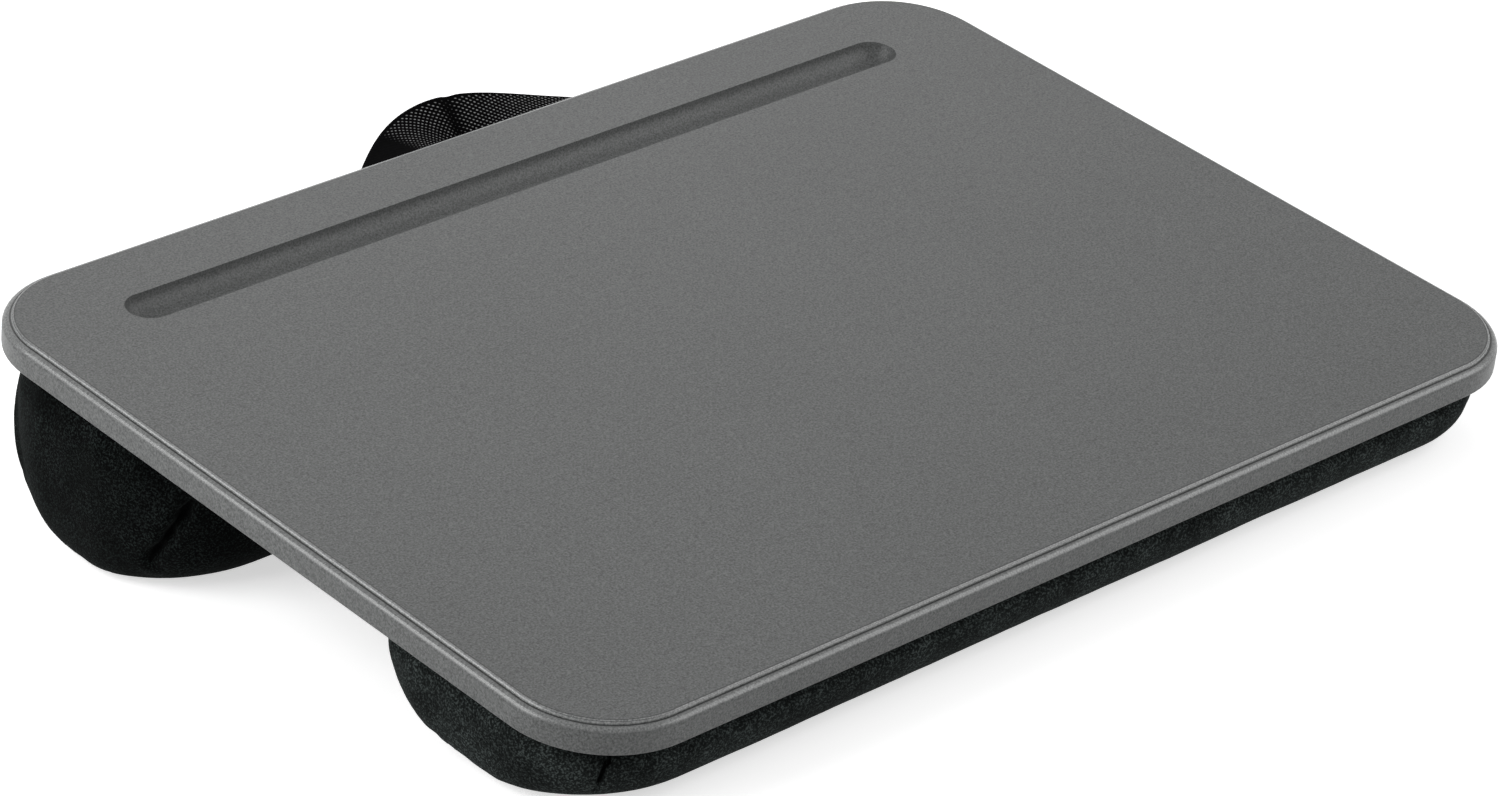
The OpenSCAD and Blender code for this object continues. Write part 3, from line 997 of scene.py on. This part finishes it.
class DESK_OT_finishes(bpy.types.Operator):
    """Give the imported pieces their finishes"""

    bl_idname = "lap_desk.finishes"
    bl_label = "Board finishes"

    def execute(self, context):
        nodes = frame["nodes"]
        film = film_material(context.scene.desk_colours.film, context.scene.desk_sizes)
        finish_slots(nodes["board_laminate"], film)
        plain = {name: plain_material(name, *look) for name, look in PLAIN_FINISHES.items()}
        for name, finish in PLAIN_PIECES.items():
            finish_slots(nodes[name], plain[finish])
        return {"FINISHED"}


# The camera that took the photo, as solved from the board's outline
CAMERA_AT = Vector((-1.002512, -1.107002, 0.696159))
CAMERA_RIGHT = Vector((0.734242, -0.678737, -0.014310))
CAMERA_AHEAD = Vector((0.614111, 0.673021, -0.412203))
CAMERA_LENS = 135.251
CAMERA_SENSOR = 36.0
# Studio lamps, each a square of soft light aimed at the desk: name, place and watts
LAMP_SIDE = 1.0
LAMPS = (
    ("left", (-1.05, 0.45, 0.7), 11.0),
    ("right", (0.8, -0.75, 0.7), 6.0),
    ("far", (0.85, 1.15, 0.95), 2.5),
)
# Light that the world gives the desk, and what world and floor add where they are seen
WORLD_LIGHT = 0.35
WORLD_SEEN = 0.65
FLOOR_SEEN = 0.60
WHITE = (1.0, 1.0, 1.0)
FLOOR_SIDE = 12.0
FLOOR_Z = -0.0004


def photo_camera(scene):
    camera = bpy.data.cameras.new("photo_camera")
    camera.sensor_width = CAMERA_SENSOR
    camera.lens = CAMERA_LENS
    camera.clip_start = 0.05
    obj = bpy.data.objects.new("photo_camera", camera)
    scene.collection.objects.link(obj)
    ahead = CAMERA_AHEAD.normalized()
    right = (CAMERA_RIGHT - CAMERA_RIGHT.dot(ahead) * ahead).normalized()
    up = right.cross(ahead)
    turn = Matrix((right, up, -ahead)).transposed().to_4x4()
    obj.matrix_world = Matrix.Translation(CAMERA_AT) @ turn
    scene.camera = obj


def area_lamp(scene, name, at, power):
    light = bpy.data.lights.new(name, "AREA")
    light.shape = "RECTANGLE"
    light.size = LAMP_SIDE
    light.size_y = LAMP_SIDE
    light.energy = power
    obj = bpy.data.objects.new(name, light)
    scene.collection.objects.link(obj)
    obj.location = at
    obj.rotation_euler = (-Vector(at)).to_track_quat("-Z", "Y").to_euler()


def seen_directly(nodes, links):
    """1 on rays from the camera, from a reflection or through glass, otherwise 0."""
    rays = nodes.new("ShaderNodeLightPath").outputs
    seen = math_node(nodes, links, "MAXIMUM", rays["Is Camera Ray"], rays["Is Glossy Ray"])
    return math_node(nodes, links, "MAXIMUM", seen, rays["Is Transmission Ray"])


def studio_world(scene):
    scene.world = bpy.data.worlds.new("studio")
    scene.world.use_nodes = True
    nodes, links = scene.world.node_tree.nodes, scene.world.node_tree.links
    sky = nodes["Background"]
    set_inputs(sky, Color=WHITE)
    level = math_node(nodes, links, "MULTIPLY", seen_directly(nodes, links), WORLD_SEEN)
    links.new(math_node(nodes, links, "ADD", level, WORLD_LIGHT), sky.inputs["Strength"])


def pale_floor():
    """A matt floor that looks white and keeps the desk's shadow."""
    deselect()
    bpy.ops.mesh.primitive_plane_add(size=FLOOR_SIDE, location=(0, 0, FLOOR_Z))
    floor = bpy.context.object
    floor.name = "floor"
    mat, nodes, links, bsdf = new_material("pale_floor")
    set_inputs(
        bsdf, Base_Color=(0.92, 0.92, 0.92), Roughness=0.9, Specular_IOR_Level=0.0,
        Emission_Color=WHITE,
    )
    glow = math_node(nodes, links, "MULTIPLY", seen_directly(nodes, links), FLOOR_SEEN)
    links.new(glow, bsdf.inputs["Emission Strength"])
    finish_slots(floor, mat)


class DESK_OT_stage(bpy.types.Operator):
    """Make the camera, the soft studio light and the pale floor"""

    bl_idname = "lap_desk.stage"
    bl_label = "Stage"

    def execute(self, context):
        scene = context.scene
        scene.view_settings.view_transform = "Standard"
        photo_camera(scene)
        studio_world(scene)
        for name, at, power in LAMPS:
            area_lamp(scene, name, at, power)
        pale_floor()
        return {"FINISHED"}


class DESK_PT_panel(bpy.types.Panel):
    """Lists the pieces"""

    bl_label = "Lap desk"
    bl_idname = "DESK_PT_panel"
    bl_space_type = "VIEW_3D"
    bl_region_type = "UI"
    bl_category = "Lap desk"

    def draw(self, context):
        for cls in OPERATORS:
            self.layout.operator(cls.bl_idname)
        for group in (context.scene.desk_sizes, context.scene.desk_colours):
            for key in group.bl_rna.properties.keys():
                if key not in ("rna_type", "name"):
                    self.layout.prop(group, key)


OPERATORS = (
    DESK_OT_stage, DESK_OT_finishes, DESK_OT_bolsters, DESK_OT_base_panel, DESK_OT_webbing,
)
CLASSES = (DeskSizes, DeskColours, *OPERATORS, DESK_PT_panel)


def register():
    for cls in CLASSES:
        bpy.utils.register_class(cls)
    bpy.types.Scene.desk_sizes = bpy.props.PointerProperty(type=DeskSizes)
    bpy.types.Scene.desk_colours = bpy.props.PointerProperty(type=DeskColours)


def unregister():
    del bpy.types.Scene.desk_colours
    del bpy.types.Scene.desk_sizes
    for cls in reversed(CLASSES):
        bpy.utils.unregister_class(cls)


def main():
    register()
    bpy.ops.lap_desk.stage()
    bpy.ops.lap_desk.finishes()
    bpy.ops.lap_desk.bolsters()
    bpy.ops.lap_desk.base_panel()
    bpy.ops.lap_desk.webbing()


if __name__ == "__main__":
    main()
